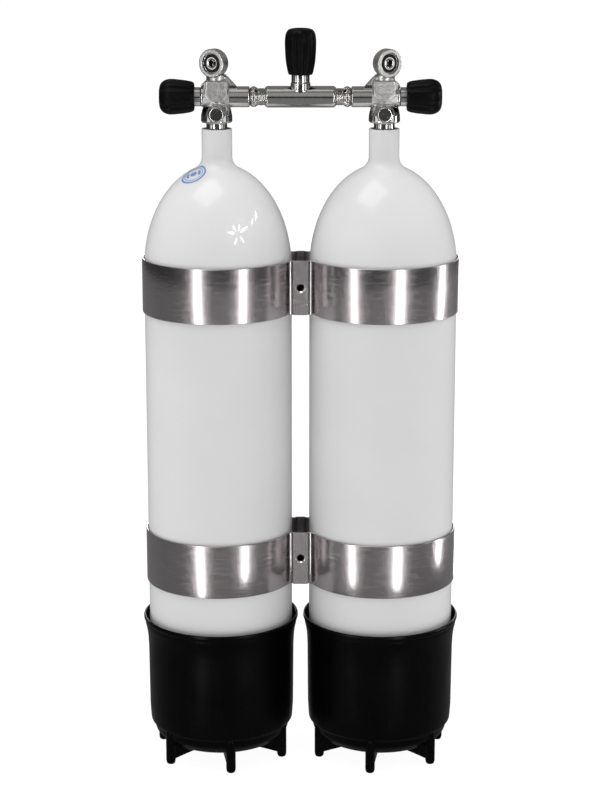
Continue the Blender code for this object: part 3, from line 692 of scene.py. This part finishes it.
def threaded(low_r, high_r, start, end, pitch, axis_frame, steps=48, inward=False):
    """A bmesh tube wall with a helical ridge, its crests at high_r and its roots at low_r."""
    shape = bmesh.new()
    rows = int((end - start) / pitch * 6)
    rings = []
    for row in range(rows + 1):
        loop = []
        for k in range(steps):
            z = start + (end - start) * row / rows
            phase = (z / pitch + k / steps) % 1.0
            ridge = 1 - abs(2 * phase - 1)
            fade = min(1.0, (z - start) / pitch, (end - z) / pitch)
            base = high_r if inward else low_r
            tip = low_r if inward else high_r
            r = base + (tip - base) * ridge * fade
            angle = math.tau * k / steps
            loop.append(shape.verts.new(axis_frame @ Vector((r * math.cos(angle), r * math.sin(angle), z))))
        rings.append(loop)
    for lower, upper in zip(rings, rings[1:]):
        for k in range(steps):
            n = (k + 1) % steps
            shape.faces.new((lower[k], lower[n], upper[n], upper[k]))
    return shape, rings


def make_spacer(name):
    """The threaded sleeve between the two webs."""
    low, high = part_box(name)
    middle = (low + high) / 2
    half = (high.y - low.y) / 2
    shape, rings = threaded(BOLT_HOLE_R - 0.2 * MM, BOLT_HOLE_R, -half, half, 1.25 * MM,
                            along((0, 1, 0), middle), 32, inward=True)
    outer_r = (high.z - low.z) / 2
    place = along((0, 1, 0), middle)
    ends = []
    for z, radius in ((-half, outer_r - 0.5 * MM), (0.5 * MM - half, outer_r), (half - 0.5 * MM, outer_r),
                      (half, outer_r - 0.5 * MM)):
        ends.append([shape.verts.new(place @ Vector((radius * math.cos(math.tau * k / 32),
                                                     radius * math.sin(math.tau * k / 32), z)))
                     for k in range(32)])
    loops = [rings[0]] + ends + [rings[-1]]
    for first, second in zip(loops, loops[1:]):
        for k in range(32):
            n = (k + 1) % 32
            shape.faces.new((first[k], first[n], second[n], second[k]))
    made = piece(name + "_sleeve", shape, "brushed_stainless", stands_for=[name])
    flat_uv(made.data)


def add_hexagon(shape, flats, low_z, high_z, place, bore_r=0.0):
    """A chamfered hexagon, as a turned blank whose radius follows the six flats."""
    corner = flats / math.sqrt(3)
    steps = 96

    def to_flat(angle, limit):
        turned = (angle + math.pi / 6 + math.pi / 6) % (math.pi / 3) - math.pi / 6
        return min(limit, flats / 2 / math.cos(turned))

    lift = (corner - flats / 2) * 0.58
    rows = [(flats / 2 * 0.97, high_z)]
    rows += [(corner, high_z - lift), (corner, low_z + lift), (flats / 2 * 0.97, low_z)]
    inner_r = bore_r or 0.0
    profile = [(inner_r, high_z)] + rows + [(inner_r, low_z)]
    fine = [profile[0], profile[1]]
    for k in range(1, 7):
        fine.append((profile[1][0] + (corner - profile[1][0]) * k / 6, high_z - lift * k / 6))
    for k in range(7):
        fine.append((corner - (corner - profile[4][0]) * k / 6, low_z + lift * (1 - k / 6)))
    fine.append(profile[-1])
    loops = []
    for radius, z in fine:
        if radius < 1e-6:
            loops.append([shape.verts.new(place @ Vector((0, 0, z)))])
            continue
        loop = []
        for k in range(steps):
            angle = math.tau * k / steps
            r = to_flat(angle, radius) if radius > inner_r + 1e-6 else radius
            loop.append(shape.verts.new(place @ Vector((r * math.cos(angle), r * math.sin(angle), z))))
        loops.append(loop)
    pairs = list(zip(loops, loops[1:]))
    if bore_r:
        pairs.append((loops[-1], loops[0]))
    for upper, lower in pairs:
        for k in range(steps):
            n = (k + 1) % steps
            corners = [upper[k % len(upper)], lower[k % len(lower)], lower[n % len(lower)], upper[n % len(upper)]]
            face = list(dict.fromkeys(corners))
            if len(face) > 2:
                shape.faces.new(face)


def make_bolt(name):
    low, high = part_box(name)
    x, z = (low.x + high.x) / 2, (low.z + high.z) / 2
    place = along((0, 1, 0), (x, 0, z))
    head = 5.3 * MM
    shape, rings = threaded(3.4 * MM, 3.9 * MM, low.y, high.y - head, 1.25 * MM, place, 32)
    for ring in (rings[0], rings[-1]):
        shape.faces.new(ring)
    add_hexagon(shape, min(high.x - low.x, high.z - low.z), high.y - head, high.y, place)
    made = piece(name + "_thread", shape, "brushed_stainless", stands_for=[name])
    flat_uv(made.data)


def make_band(name):
    for end, side in SIDES.items():
        make_hoop(f"{name}_band_{end}_hoop", side)
    make_clamp_plate(name + "_band_front_plate", -1, 0.8 * MM)
    make_clamp_plate(name + "_band_rear_plate", 1, 4.0 * MM)
    make_spacer(name + "_band_spacer")
    make_bolt(name + "_band_bolt")


# ---------------------------------------------------------------- valves

def outlet_frame(side):
    direction = (side * math.sin(OUTLET_SPLAY), -math.cos(OUTLET_SPLAY), 0)
    return along(direction, (side * CYL_X, 0, OUTLET_Z))


def mark_satin(data, side):
    """Marks the blasted block and outlet boss of a casting, from 0, polished, to 1, satin."""
    layer = data.attributes.new("satin", "FLOAT", "POINT")
    for point, vertex in zip(layer.data, data.vertices):
        x, _, z = vertex.co
        reach = 24 * MM if z > BAR_Z + 14 * MM else 15.5 * MM
        across = (reach - abs(x - side * CYL_X)) / (1.5 * MM)
        above = (z - BAR_Z + 9 * MM) / (1.5 * MM)
        point.value = max(0.0, min(1.0, across, above))


def make_valve_body(name, side):
    """The chromed casting: trunk and skirt, bar, gusset, shield, boss and bulge melted together."""
    shape = bmesh.new()
    trunk = [(0, 25), (11.5, 25), (11.5, -7), (14.6, -9.5), (16.6, -15), (17.8, -21), (18.0, -27.5), (17.0, -29),
             (12.0, -29.5), (12.0, -58), (0, -58)]
    lathe(shape, [(r * MM, BAR_Z + z * MM) for r, z in trunk], 96, Matrix.Translation((side * CYL_X, 0, 0)))
    end = abs(STEMS[name]["pos_m"][0]) / MM + 16.5
    bar = [(0, end), (10.9, end), (11.4, end - 1), (11.9, 90), (11.9, 58.8), (11.1, 58), (9.3, 58), (9.3, 68), (0, 68)]
    lathe(shape, [(r * MM, x * MM) for r, x in bar], 96, along((side, 0, 0), (0, 0, BAR_Z)))
    gusset = [(-23.3, -5), (17.3, -5), (17.3, 13.5), (11.5, 19), (-12.5, 23), (-23.3, 11)]
    prism(shape, [(side * x * MM, z * MM) for x, z in gusset], 14 * MM, along((0, -1, 0), (side * CYL_X, 0, BAR_Z)))
    boss = rounded([(11.5, 1), (11.5, 12), (15.6, 12), (16.25, 11), (16.25, 1), (14.75, -2.5), (11.75, -5.5),
                    (9, -7.5), (0, -8)], 0.8)
    boss = [(0, -2.5), (11.5, -2.5)] + boss
    lathe(shape, [(r * MM, x * MM) for r, x in boss], 96, outlet_frame(side))
    shield = arc((0, 9.5 * MM), 14 * MM, math.radians(206), math.radians(334), 24)
    shield += [(11.5 * MM, 18.5 * MM), (-11.5 * MM, 18.5 * MM)]
    prism(shape, shield, 8 * MM, along((0, -1, 0), (side * CYL_X, -9.4 * MM, BAR_Z)))
    bulge = [(0, 20.2), (7.6, 20.2), (8.9, 19), (9.2, 4), (0, 4)]
    lathe(shape, [(r * MM, y * MM) for r, y in bulge], 48, along((0, -1, 0), (side * CYL_X, 0, BAR_Z - 18.5 * MM)))
    made = piece(name + "_valve_casting", shape, "chrome", stands_for=[name + "_valve_body"])
    cast(made, 0.5 * MM, 2)
    bored(made, STEM_CHAMBER, STEMS[name]["pos_m"], STEMS[name]["axis"], 64)
    mark_satin(made.data, side)
    made.data.set_sharp_from_angle(angle=math.radians(50))


def make_insert(name, side):
    """The screw-in insert with its hexagon socket, and the O-ring in its face."""
    place = outlet_frame(side)
    face, start = 10 * MM, 1 * MM
    shape = bmesh.new()
    profile = [(6.9 * MM, face), (7.0 * MM, face - 0.2 * MM), (7.0 * MM, face - 2.4 * MM), (10.4 * MM, face - 2.4 * MM),
               (10.4 * MM, face - 0.3 * MM), (10.6 * MM, face - 0.2 * MM), (11.2 * MM, face - 0.2 * MM),
               (11.2 * MM, start), (2.6 * MM, start), (2.6 * MM, face - 6.5 * MM)]
    lathe(shape, profile + [(4.4 * MM, face - 6.5 * MM)], 96, place)
    sharp = 48
    rim, floor = [], []
    for k in range(96):
        angle = math.tau * k / 96
        turned = (angle + math.pi / 6) % (math.pi / 3) - math.pi / 6
        r = 4.0 * MM / math.cos(turned)
        for ring, z, grow in ((rim, face - 0.3 * MM, 0.0), (floor, face - 6.5 * MM, 0.0)):
            spot = Vector(((r + grow) * math.cos(angle), (r + grow) * math.sin(angle), z))
            ring.append(shape.verts.new(place @ spot))
    outer = []
    for k in range(96):
        angle = math.tau * k / 96
        outer.append(shape.verts.new(place @ Vector((6.9 * MM * math.cos(angle), 6.9 * MM * math.sin(angle), face))))
    lip = []
    for k in range(96):
        angle = math.tau * k / 96
        turned = (angle + math.pi / 6) % (math.pi / 3) - math.pi / 6
        r = 4.0 * MM / math.cos(turned) + 0.3 * MM
        lip.append(shape.verts.new(place @ Vector((r * math.cos(angle), r * math.sin(angle), face))))
    for first, second in ((outer, lip), (lip, rim), (rim, floor)):
        for k in range(96):
            n = (k + 1) % 96
            shape.faces.new((first[k], first[n], second[n], second[k]))
    bmesh.ops.remove_doubles(shape, verts=shape.verts, dist=1e-6)
    piece(name + "_outlet_insert_face", shape, "chrome", stands_for=[name + "_outlet_insert"], sharp=sharp)
    ring = bmesh.new()
    section = arc((8.7 * MM, face - 0.75 * MM), 1.3 * MM, 0, math.tau, 16)[:-1]
    lathe(ring, section, 72, place, closed=True)
    piece(name + "_outlet_seal", ring, "seal_rubber", stands_for=[name + "_outlet_o_ring"])


def make_neck_ring(name, side):
    low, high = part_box(name + "_neck_o_ring")
    minor = (high.z - low.z) / 2
    middle_z = (low.z + high.z) / 2
    shape = bmesh.new()
    lathe(shape, arc(((high.x - low.x) / 2 - minor, middle_z), minor, 0, math.tau, 16)[:-1], 72,
          Matrix.Translation((side * CYL_X, 0, 0)), closed=True)
    piece(name + "_neck_seal", shape, "seal_rubber", stands_for=[name + "_neck_o_ring"])


def make_bonnet(name, place, outer_r):
    """The round gland nut: its threaded sleeve and its collar."""
    profile = rounded([(3.3 * MM, 17.4 * MM), (3.3 * MM, 27 * MM), (outer_r - 1 * MM, 27 * MM),
                       (outer_r, 26 * MM), (outer_r, 16.8 * MM), (8.7 * MM, 16.8 * MM), (8.7 * MM, 7.5 * MM),
                       (7.2 * MM, 7.5 * MM), (7.2 * MM, 17.4 * MM), (5 * MM, 17.4 * MM)], 0.4 * MM)
    shape = bmesh.new()
    lathe(shape, profile, 96, place, closed=True)
    piece(name + "_gland_nut", shape, "chrome", stands_for=[name + "_bonnet"])


def fluted(depth, count, start, end):
    """A radius factor with round valleys along the knob's side, fading at both ends."""
    def factor(angle, share):
        if not start < share < end:
            return 1.0
        along_side = (share - start) / (end - start)
        fade = min(1.0, along_side * 6, (1 - along_side) * 4)
        wave = 0.5 - 0.5 * math.cos(count * angle)
        valley = (1 - wave) ** 2.2
        return 1 - depth * fade * valley
    return factor


def knob_profile(start, length, side_shape, skirt_r, skirt_depth, recess_depth):
    """Far recess, outer side and near skirt of a knob, with soft edges."""
    outer = [(radius, start + at * length) for radius, at in side_shape]
    floor = start + length - recess_depth
    top = [(3.3 * MM, floor), (7.0 * MM, floor), (7.0 * MM, start + length)]
    skirt = [(skirt_r, start), (skirt_r, start + skirt_depth), (3.3 * MM, start + skirt_depth)]
    side = rounded([top[-1]] + outer + [skirt[0]], 5 * MM, 5)
    fine = []
    for first, second in zip(side, side[1:]):
        pieces = max(1, round((Vector(second) - Vector(first)).length / (1.4 * MM)))
        fine += [tuple(Vector(first).lerp(Vector(second), k / pieces)) for k in range(pieces)]
    return top[:2] + fine + skirt, len(fine)


def make_knob(name, place, start, length, side_shape, skirt_r, skirt_depth, recess_depth):
    profile, fine = knob_profile(start, length, side_shape, skirt_r, skirt_depth, recess_depth)
    total = len(profile) - 1
    shape = bmesh.new()
    lathe(shape, profile, 240, place, fluted(0.085, 10, (2 + fine * 0.17) / total, (2 + fine * 0.97) / total),
          closed=True)
    piece(name + "_knob_grip", shape, "knob_rubber", body=name + "_knob_body", stands_for=[name + "_knob"])
    nut = bmesh.new()
    nut_start = start + length - recess_depth + 0.3 * MM
    add_hexagon(nut, 10 * MM, nut_start, nut_start + 4 * MM, place, 3.3 * MM)
    piece(name + "_knob_hex", nut, "chrome", body=name + "_knob_body", stands_for=[name + "_knob_nut"])


def make_side_knob(name, place):
    r = 20.25 * MM
    side = [(9.5 * MM, 1.0), (14.5 * MM, 0.97), (18.2 * MM, 0.88), (r, 0.74), (r, 0.6), (19.0 * MM, 0.28),
            (17.4 * MM, 0.07), (15.6 * MM, 0.0)]
    make_knob(name, place, 24 * MM, 40 * MM, side, 13 * MM, 18 * MM, 11 * MM)


def make_isolator_knob(place):
    r = 18.3 * MM
    side = [(9.5 * MM, 1.0), (14.0 * MM, 0.975), (17.0 * MM, 0.9), (r, 0.78), (r, 0.6), (17.4 * MM, 0.3),
            (15.2 * MM, 0.08), (13.8 * MM, 0.0)]
    make_knob("isolator", place, 25.2 * MM, 52 * MM, side, 11 * MM, 24 * MM, 12 * MM)


def make_isolator_body():
    shape = bmesh.new()
    across = along((1, 0, 0), (0, 0, BAR_Z))
    half, block_r = 40.8 * MM, 12.3 * MM
    block = [(9.3 * MM, 24 * MM), (9.3 * MM, half), (block_r - 2.2 * MM, half), (block_r, half - 2.6 * MM)]
    profile = [(0, 24 * MM)] + block + [(r, -z) for r, z in reversed(block)] + [(0, -24 * MM)]
    lathe(shape, profile, 96, across)
    stub = [(0, 16.5 * MM), (11.2 * MM, 16.5 * MM), (11.2 * MM, 0), (0, 0)]
    lathe(shape, stub, 96, Matrix.Translation((0, 0, BAR_Z)))
    made = piece("isolator_casting", shape, "chrome", stands_for=["isolator_body"])
    cast(made, 0.6 * MM, 2)
    bored(made, STEM_CHAMBER, STEMS["isolator"]["pos_m"], (0, 0, 1), 64)
    made.data.set_sharp_from_angle(angle=math.radians(50))


def make_crossover(name, side):
    """Visible thread of the crossover tube and the chamfered, notched lock ring on it."""
    place = along((side, 0, 0), (0, 0, BAR_Z))
    start, end = 41.1 * MM, 48.5 * MM
    shape, rings = threaded(9.4 * MM, 10.0 * MM, start, end, 1.5 * MM, place, 72)
    plain, groove = 9.0 * MM, 7.6 * MM
    loops_low = [(plain, start), (plain, 31.2 * MM), (groove, 31.2 * MM), (groove, 28.8 * MM),
                 (plain, 28.8 * MM), (plain, 25 * MM), (3.5 * MM, 25 * MM), (3.5 * MM, 71.5 * MM),
                 (plain, 71.5 * MM), (plain, 67.7 * MM), (groove, 67.7 * MM), (groove, 65.3 * MM),
                 (plain, 65.3 * MM), (plain, end)]
    loops = [rings[0]]
    for radius, z in loops_low:
        loops.append([shape.verts.new(place @ Vector((radius * math.cos(math.tau * k / 72),
                                                      radius * math.sin(math.tau * k / 72), z)))
                      for k in range(72)])
    loops.append(rings[-1])
    for first, second in zip(loops, loops[1:]):
        for k in range(72):
            n = (k + 1) % 72
            shape.faces.new((first[k], first[n], second[n], second[k]))
    piece(name + "_crossover_thread", shape, "chrome", stands_for=[name + "_crossover_tube"])

    low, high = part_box(name + "_lock_ring")
    near = min(abs(low.x), abs(high.x))
    far = max(abs(low.x), abs(high.x))
    lock = rounded([(9.3 * MM, far), (9.9 * MM, far), (11.9 * MM, far - 3.4 * MM), (11.9 * MM, near + 3.4 * MM),
                    (9.9 * MM, near), (9.3 * MM, near)], 0.3 * MM)
    shape = bmesh.new()

    def notched(angle, share):
        inside = 0.2 < share < 0.8
        return 1 - 0.035 * (inside and math.cos(12 * angle) > 0.8)
    lathe(shape, lock, 192, place, notched, closed=True)
    piece(name + "_lock_nut", shape, "chrome", stands_for=[name + "_lock_ring"])


def make_valve(name, side):
    make_valve_body(name, side)
    make_insert(name, side)
    make_neck_ring(name, side)
    stem = along(STEMS[name]["axis"], STEMS[name]["pos_m"])
    make_bonnet(name, stem, 10.9 * MM)
    make_side_knob(name, stem)
    make_crossover(name, side)


def make_isolator():
    make_isolator_body()
    stem = Matrix.Translation(STEMS["isolator"]["pos_m"])
    make_bonnet("isolator", stem, 10.4 * MM)
    make_isolator_knob(stem)


# ---------------------------------------------------------------- carried-over nodes

def dress_frame():
    """Gives each CAD node that still shows its slot's material and smooth shading."""
    slots = {row["node"]: row["material_slot"] for row in frame["record"]["subparts"]}
    for name, node in frame["nodes"].items():
        if node.hide_render:
            continue
        node.data.materials.clear()
        node.data.materials.append(LOOKS[slots[name]])
        node.data.shade_smooth()
        node.data.set_sharp_from_angle(angle=math.radians(35))


# ---------------------------------------------------------------- studio

def card(name, width, height, place, look):
    """A flat stage card."""
    shape = bmesh.new()
    bmesh.ops.create_grid(shape, x_segments=1, y_segments=1, size=0.5,
                          matrix=place @ Matrix.Diagonal((width, height, 1, 1)))
    data = bpy.data.meshes.new(name)
    shape.to_mesh(data)
    shape.free()
    made = bpy.data.objects.new(name, data)
    bpy.context.scene.collection.objects.link(made)
    data.materials.append(look)
    return made


def glow(name, strength, shade=0.02):
    """A faintly mottled stage material that shines by strength."""
    s = Shader(name, 1.0, Emission_Color=(1, 1, 1, 1), Emission_Strength=strength, Specular_IOR_Level=0.0)
    s.colour(s.blend(s.noise(s.place(), 6.0), (shade, shade, shade), (shade + 0.01, shade + 0.01, shade + 0.01)))
    return s.material


def only_seen(made, camera=False, diffuse=False, glossy=False):
    made.visible_camera, made.visible_diffuse, made.visible_glossy = camera, diffuse, glossy
    made.visible_transmission = made.visible_shadow = False


def round_wall(name, profile, look):
    """A round stage wall or sky."""
    shape = bmesh.new()
    lathe(shape, profile, 96)
    data = bpy.data.meshes.new(name)
    shape.to_mesh(data)
    shape.free()
    made = bpy.data.objects.new(name, data)
    bpy.context.scene.collection.objects.link(made)
    data.materials.append(look)
    return made


def make_floor():
    """A white floor and backdrop, and the darker room that polished metal mirrors."""
    floor = card("floor", 60, 60, Matrix(), glow("pale_floor", 0.96, 0.15))
    floor.visible_glossy = False
    backdrop = round_wall("backdrop", [(0, 31), (22, 22), (29, -0.5)], glow("pale_backdrop", 1.0))
    only_seen(backdrop, camera=True)
    mirrored = card("mirrored_floor", 60, 60, Matrix.Translation((0, 0, -2 * MM)), glow("dim_floor", 0.2))
    only_seen(mirrored, glossy=True)
    only_seen(round_wall("mirrored_sky", [(0, 28), (20, 20), (28, 0)], glow("dim_sky", 0.2)), glossy=True)
    only_seen(round_wall("dark_wall", [(4.4, 1.25), (4.4, 0)], glow("dim_wall", 0.03)), glossy=True)


def lamp(name, size_x, size_y, power, at, towards, roll=0.0):
    data = bpy.data.lights.new(name, "AREA")
    data.shape = "RECTANGLE"
    data.size, data.size_y = size_x, size_y
    data.energy = power
    made = bpy.data.objects.new(name, data)
    bpy.context.scene.collection.objects.link(made)
    made.location = at
    aim = Vector(towards) - Vector(at)
    turn = aim.to_track_quat("-Z", "Y") @ Quaternion((0, 0, 1), roll)
    made.rotation_euler = turn.to_euler()
    made.visible_camera = False
    return made


def small_lamp(kind, name, size_x, size_y, power, at, towards, roll=0.0):
    """A lamp that only shows as a reflection, on the pieces that its kind shines on."""
    made = lamp(name, size_x, size_y, power, at, towards, roll)
    made.visible_diffuse = False
    made.light_linking.receiver_collection = LIT[kind]


def make_glint():
    """The star-shaped glint of a window with crossed bars, low on the left dome, and its trail."""
    dome = Vector((-0.075, -0.06, 0.65))
    shape = bmesh.new()

    def kite(azimuth, elevation, angle, inner, outer, half_width):
        """A pointed ray, its lengths in degrees seen from the dome, flattened as the dome needs."""
        corners = []
        for along_ray, aside in ((inner, 0), ((inner + outer) / 2, half_width), (outer, 0),
                                 ((inner + outer) / 2, -half_width)):
            turn = math.radians(angle)
            across = along_ray * math.cos(turn) - aside * math.sin(turn)
            up = along_ray * math.sin(turn) + aside * math.cos(turn)
            a, e = math.radians(azimuth + across), math.radians(elevation + 0.62 * up)
            heading = Vector((math.sin(a) * math.cos(e), -math.cos(a) * math.cos(e), math.sin(e)))
            corners.append(shape.verts.new(dome + 1.6 * heading))
        shape.faces.new(corners)

    for angle, inner, outer, half_width in ((15, 4, 21, 2.8), (62, 4, 16, 2.2), (118, 4, 16, 2.2),
                                            (165, 4, 22, 2.8), (238, 4, 17, 2.5), (300, 4, 17, 2.5)):
        kite(38.6, 25, angle, inner, outer, half_width)
    for step, size in ((0.36, 3.5), (0.62, 6), (0.86, 8)):
        kite(38.6 + 56 * step, 25 + 6.6 * step, 40, -size, size, size * 0.4)
    data = bpy.data.meshes.new("glint")
    shape.to_mesh(data)
    shape.free()
    made = bpy.data.objects.new("glint", data)
    bpy.context.scene.collection.objects.link(made)
    data.materials.append(glow("window_glow", 19))
    only_seen(made, glossy=True)
    left_dome = bpy.data.collections.new("left_dome")
    left_dome.objects.link(bpy.data.objects["left_cylinder_shell"])
    made.light_linking.receiver_collection = left_dome


def make_world():
    """Soft light that grows brighter towards the zenith."""
    world = bpy.data.worlds.new("studio")
    bpy.context.scene.world = world
    world.use_nodes = True
    tree = world.node_tree
    background = tree.nodes["Background"]
    coordinates = tree.nodes.new("ShaderNodeTexCoord")
    parts = tree.nodes.new("ShaderNodeSeparateXYZ")
    ramp = tree.nodes.new("ShaderNodeValToRGB")
    tree.links.new(coordinates.outputs["Generated"], parts.inputs["Vector"])
    tree.links.new(parts.outputs["Z"], ramp.inputs["Fac"])
    tree.links.new(ramp.outputs["Color"], background.inputs["Color"])
    stops = ramp.color_ramp.elements
    stops[0].position, stops[0].color = 0.0, (0.27, 0.27, 0.27, 1)
    stops[1].position, stops[1].color = 1.0, (0.6, 0.6, 0.6, 1)


def all_but_chrome():
    """Every object that is not chrome, whose mirror the big top lamp would whiten."""
    group = bpy.data.collections.new("all_but_chrome")
    for made in LIT["card"].objects:
        group.objects.link(made)
    for row in group.collection_objects:
        row.light_linking.link_state = "EXCLUDE"
    return group


def make_studio():
    make_floor()
    make_world()
    middle = (0, 0, 0.43)
    for name, size, power, at, seen in (
            ("key_top_left", 1.5, 26, (-0.6, -0.45, 2.8), True),
            ("soft_left", 1.8, 7, (-2.3, 0.3, 1.9), False),
            ("soft_right", 1.8, 17, (2.3, 0.2, 1.9), False),
            ("soft_front", 2.0, 4, (0.4, -3.4, 1.0), False),
            ("soft_back", 2.0, 8, (0, 2.8, 1.2), False)):
        made = lamp(name, size, size, power, at, middle)
        made.visible_glossy = seen
        if seen:
            made.light_linking.receiver_collection = all_but_chrome()
    for kind, name, width, power, at in (("strip", "strip_left", 0.056, 2.6, (-0.322, -0.45, 0.40)),
                                         ("strip", "strip_right", 0.068, 3.4, (0.322, -0.55, 0.40)),
                                         ("strip", "strip_far_right", 0.05, 6.0, (0.95, 0.06, 0.5)),
                                         ("back", "strip_back_left", 0.06, 2.8, (-0.22, 0.62, 0.40)),
                                         ("back", "strip_back_right", 0.09, 3.6, (0.30, 0.66, 0.40))):
        small_lamp(kind, name, width, 1.5, power, at, middle)
    valves = (0, 0, BAR_Z)
    small_lamp("card", "card_above", 2.2, 1.5, 1.8, (-0.2, -2.1, 2.0), valves)
    small_lamp("card", "card_top", 1.5, 1.5, 3.4, (-0.6, -0.45, 2.8), valves)
    small_lamp("card", "card_left", 1.0, 1.2, 4, (-2.2, -1.2, 0.6), valves)
    small_lamp("card", "card_right", 1.0, 1.2, 4, (2.2, -1.2, 0.6), valves)
    small_lamp("rim", "rim_left", 0.6, 1.0, 2.4, (-1.3, 1.4, 0.4), middle)
    small_lamp("rim", "rim_right", 0.6, 1.0, 3.4, (1.3, 1.4, 0.4), middle)
    make_glint()


def make_camera():
    """A long lens looking slightly down, as the photograph was taken."""
    data = bpy.data.cameras.new("camera")
    data.sensor_fit = "AUTO"
    data.sensor_width = 36
    data.lens = 101.3
    made = bpy.data.objects.new("camera", data)
    bpy.context.scene.collection.objects.link(made)
    distance, pitch, aim_z = 2.65, math.radians(14), 0.438
    made.location = (-0.0006, -distance * math.cos(pitch), aim_z + distance * math.sin(pitch))
    made.rotation_euler = (math.pi / 2 - pitch, 0, 0)
    bpy.context.scene.camera = made


def main():
    make_camera()
    for name, side in SIDES.items():
        make_cylinder(name, side)
        make_boot(name, side)
        make_valve(name, side)
    make_isolator()
    for name in BANDS:
        make_band(name)
    make_shoulder_mark()
    dress_frame()
    make_studio()
    bpy.context.scene.view_settings.view_transform = "Standard"


main()


def plain(box):
    return [[float(value) for value in corner] for corner in box]
